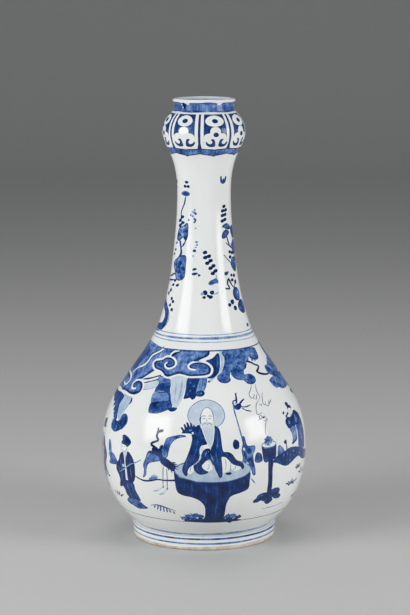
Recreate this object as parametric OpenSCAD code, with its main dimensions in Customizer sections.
// Garlic-head bottle vase: thrown porcelain sections, luted one on top of the other with slip.
// Millimetres, +Z up, origin at the centre of the foot's resting plane.

/* [Foot ring] */
// Outer diameter where the foot ring meets the body
foot_d = 158; // [150:1:175]
// Height of the foot ring, which is also the depth of the recess under the base
foot_h = 15; // [8:0.5:30]
// Thickness of the foot ring at its top
foot_wall = 9.5; // [5:0.5:16]
// How far the outside of the foot ring draws in from top to bottom
foot_draft = 1.2; // [0:0.1:4]
// Bevel on both edges of the resting face
foot_bevel = 1.8; // [0.5:0.1:2.5]
// Width of the ledge that the foot ring leaves round the body's root
foot_ledge = 3.5; // [1.5:0.1:4.5]

/* [Lower body] */
// Outward slope of the body where it springs from the foot
body_root_slope = 1.14; // [0.8:0.02:1.4]
// Height from the foot seam to the belly seam
lower_body_h = 86; // [70:1:110]
// Outer diameter at the belly seam, the widest place
belly_d = 224; // [205:1:245]
// Thickness of the floor
floor_t = 9; // [6:0.5:14]
// Run of the curve between the floor and the wall inside
floor_sweep = 14; // [6:1:24]
// Wall at the foot of the body
root_wall = 8; // [5:0.5:10]
// Wall at the belly seam
belly_wall = 6.5; // [4:0.5:10]

/* [Upper body] */
// Height from the belly seam to the swell of the upper body
swell_h = 58; // [45:1:75]
// Outer diameter at the swell
swell_d = 192; // [178:1:202]
// Inward slope at the swell
swell_slope = -0.61; // [-0.8:0.01:-0.45]
// Height from the swell to the shoulder seam
shoulder_h = 75; // [60:1:95]

/* [Neck] */
// Outer diameter at the shoulder seam, where the neck begins
neck_root_d = 99; // [90:1:110]
// Inward slope at the shoulder seam
neck_root_slope = -0.34; // [-0.5:0.01:-0.2]
// Wall at the shoulder seam
neck_wall = 5.5; // [3.5:0.5:8]
// Height from the shoulder seam to the middle of the taper
taper_h = 58.5; // [40:0.5:80]
// Outer diameter at the middle of the taper
taper_d = 71.2; // [66:0.2:78]
// Inward slope at the middle of the taper
taper_slope = -0.126; // [-0.2:0.002:-0.06]
// Height from the middle of the taper to the waist
waist_h = 81.5; // [60:0.5:110]
// Outer diameter at the waist, the narrowest place
waist_d = 58; // [52:0.5:63]
// Height from the waist to the bulb seam
flare_h = 41; // [30:1:55]

/* [Garlic bulb] */
// Outer diameter at the bulb seam
bulb_root_d = 70.8; // [66:0.2:76]
// Outward slope at the bulb seam
bulb_root_slope = 0.4; // [0.25:0.01:0.55]
// Wall at the bulb seam
bulb_wall = 4.5; // [3:0.5:7]
// Height from the bulb seam to the widest place of the bulb
bulb_low_h = 25; // [18:0.5:36]
// Outer diameter of the bulb
bulb_d = 90; // [82:0.5:100]
// Height from the widest place of the bulb to the collar seam
bulb_top_h = 23.5; // [18:0.5:32]
// Inward slope of the bulb at the collar seam
bulb_top_slope = -1.19; // [-1.5:0.01:-0.9]

/* [Mouth collar] */
// Diameter of the mouth
mouth_d = 56.6; // [50:0.2:64]
// Wall of the upright collar
collar_wall = 4.5; // [3:0.1:6]
// Height of the collar, lip included
collar_h = 11.5; // [9:0.5:20]
// Height of the rolled lip
lip_h = 4.4; // [3:0.1:6]
// How far the lip stands out from the collar
lip_proud = 1.1; // [0.5:0.1:2]

/* [Slip seams] */
// Thickness of the slip in each luted seam
slip_t = 1; // [0.4:0.1:2]
// How far the slip is squeezed out as a bead inside
slip_bead = 1.1; // [0.3:0.1:2]

/* [Hidden] */

// Longest step along an outline, and steps on each small round
outline_step = 2.5;
round_steps = 8;
$fn = 180;

glaze_white = [0.90, 0.92, 0.92];
clay_white = [0.93, 0.90, 0.84];

// Radii that the foot ring, its slip and the body share
foot_r = foot_d / 2;
foot_bore_r = foot_r - foot_wall;
body_root_r = foot_r - foot_ledge;

// Radii that the bulb, the collar and its slip share
mouth_r = mouth_d / 2;
collar_r = mouth_r + collar_wall;

// Heights, from the resting plane up
foot_seam = foot_h;
lower_z = foot_seam + slip_t;
belly_seam = lower_z + lower_body_h;
upper_z = belly_seam + slip_t;
swell_z = upper_z + swell_h;
shoulder_seam = swell_z + shoulder_h;
neck_z = shoulder_seam + slip_t;
taper_z = neck_z + taper_h;
waist_z = taper_z + waist_h;
bulb_seam = waist_z + flare_h;
bulb_z = bulb_seam + slip_t;
bulb_belly_z = bulb_z + bulb_low_h;
collar_seam = bulb_belly_z + bulb_top_h;
collar_z = collar_seam + slip_t;
rim_z = collar_z + collar_h;
floor_z = lower_z + floor_t;

// The outside of the thrown form: height, radius and slope at each place that sets it
STATIONS = [
    [lower_z, body_root_r, body_root_slope],
    [belly_seam, belly_d / 2, 0],
    [swell_z, swell_d / 2, swell_slope],
    [shoulder_seam, neck_root_d / 2, neck_root_slope],
    [taper_z, taper_d / 2, taper_slope],
    [waist_z, waist_d / 2, 0],
    [bulb_seam, bulb_root_d / 2, bulb_root_slope],
    [bulb_belly_z, bulb_d / 2, 0],
    [collar_seam, collar_r, bulb_top_slope],
];

// The wall, square to the surface, at each seam. At the collar it meets the mouth.
WALLS = [
    [lower_z, root_wall],
    [belly_seam, belly_wall],
    [shoulder_seam, neck_wall],
    [bulb_seam, bulb_wall],
    [collar_seam, collar_wall / wall_run(bulb_top_slope)],
];

// Horizontal run through a wall of thickness 1 that leans by this slope
function wall_run(slope) = sqrt(1 + slope * slope);

// Smooth curve between two stations, at height z
function hermite(a, b, z) =
    let (rise = b[0] - a[0], t = (z - a[0]) / rise, u = 1 - t)
    (1 + 2 * t) * u * u * a[1] + t * u * u * rise * a[2]
    + t * t * (3 - 2 * t) * b[1] - t * t * u * rise * b[2];

function hermite_slope(a, b, z) =
    let (rise = b[0] - a[0], t = (z - a[0]) / rise)
    6 * t * (1 - t) * (b[1] - a[1]) / rise
    + (1 - t) * (1 - 3 * t) * a[2] + t * (3 * t - 2) * b[2];

// The stretch between stations that holds height z
function stretch_at(z, i = 0) =
    i >= len(STATIONS) - 2 || z <= STATIONS[i + 1][0] ? i : stretch_at(z, i + 1);

function outer_r(z) =
    let (i = stretch_at(z))
    z >= collar_seam ? collar_r : hermite(STATIONS[i], STATIONS[i + 1], max(z, lower_z));

function outer_slope(z) =
    let (i = stretch_at(z))
    hermite_slope(STATIONS[i], STATIONS[i + 1], max(z, lower_z));

function inner_r(z) =
    z >= collar_seam ? mouth_r : outer_r(z) - lookup(z, WALLS) * wall_run(outer_slope(z));

// Even steps from one height to another
function heights(from, to) =
    let (n = ceil(abs(to - from) / outline_step))
    [for (i = [0 : n]) from + (to - from) * i / n];

// Points of a curve that is pulled towards a corner between its two ends
function sweep(a, corner, b) =
    [for (i = [1 : round_steps - 1])
        let (t = i / round_steps) (1 - t) * (1 - t) * a + 2 * t * (1 - t) * corner + t * t * b];

// Half ellipse round a centre, from the angle that starts to the angle that ends
function arc(centre, rx, rz, from, to) =
    [for (i = [0 : round_steps])
        let (a = from + (to - from) * i / round_steps) centre + [rx * cos(a), rz * sin(a)]];

// A thrown section, open at both ends
module thrown_ring(from, to) {
    rotate_extrude()
        polygon(concat(
            [for (z = heights(from, to)) [outer_r(z), z]],
            [for (z = heights(to, from)) [inner_r(z), z]]));
}

// Slip between two sections, flush outside, with a bead squeezed out inside
module slip_seam(from) {
    to = from + slip_t;
    bead = arc([0, (from + to) / 2], -slip_bead, slip_t / 2, 90, -90);
    rotate_extrude()
        polygon(concat(
            [[outer_r(from), from], [outer_r(to), to]],
            [for (p = bead) [inner_r(p[1]) + p[0], p[1]]]));
}

// Ring under the base: drawn in a little, with a bevelled resting face
module foot_ring() {
    base_r = foot_r - foot_draft;
    top_round = foot_bevel / 2;
    color(clay_white)
        rotate_extrude()
            polygon([
                [foot_bore_r + foot_bevel, 0], [base_r - foot_bevel, 0], [base_r, foot_bevel],
                [foot_r, foot_h - top_round], [foot_r - top_round, foot_h],
                [foot_bore_r, foot_h], [foot_bore_r, foot_bevel],
            ]);
}

// Slip under the base, between the foot ring and the body
module foot_slip() {
    bead = arc([foot_bore_r, foot_seam + slip_t / 2], -slip_bead, slip_t / 2, 90, -90);
    color(clay_white)
        rotate_extrude()
            polygon(concat([[body_root_r, foot_seam], [body_root_r, lower_z]], bead));
}

// Bowl of the body, with the floor of the vase
module lower_body() {
    wall_end = floor_z + floor_sweep / 2;
    corner = [inner_r(floor_z), floor_z];
    floor_end = corner - [floor_sweep, 0];
    color(glaze_white)
        rotate_extrude()
            polygon(concat(
                [[0, lower_z]],
                [for (z = heights(lower_z, belly_seam)) [outer_r(z), z]],
                [for (z = heights(belly_seam, wall_end)) [inner_r(z), z]],
                sweep([inner_r(wall_end), wall_end], corner, floor_end),
                [floor_end, [0, floor_z]]));
}

module belly_slip() {
    color(clay_white) slip_seam(belly_seam);
}

// Upper half of the body, up to the shoulder
module upper_body() {
    color(glaze_white) thrown_ring(upper_z, shoulder_seam);
}

module shoulder_slip() {
    color(clay_white) slip_seam(shoulder_seam);
}

// Long neck, from the shoulder to the bulb
module neck() {
    color(glaze_white) thrown_ring(neck_z, bulb_seam);
}

module bulb_slip() {
    color(clay_white) slip_seam(bulb_seam);
}

// Swelling below the mouth
module garlic_bulb() {
    color(glaze_white) thrown_ring(bulb_z, collar_seam);
}

// Slip under the collar, wiped flush inside too, where a finger reaches
module collar_slip() {
    color(clay_white) thrown_ring(collar_seam, collar_z);
}

// Upright collar with a rolled lip
module mouth_collar() {
    lip_r = (collar_wall + lip_proud) / 2;
    lip_z = rim_z - lip_h / 2;
    color(glaze_white)
        rotate_extrude()
            polygon(concat(
                [[mouth_r, collar_z], [collar_r, collar_z], [collar_r, rim_z - lip_h]],
                arc([mouth_r + lip_r, lip_z], lip_r, lip_h / 2, -45, 180)));
}

foot_ring();
foot_slip();
lower_body();
belly_slip();
upper_body();
shoulder_slip();
neck();
bulb_slip();
garlic_bulb();
collar_slip();
mouth_collar();
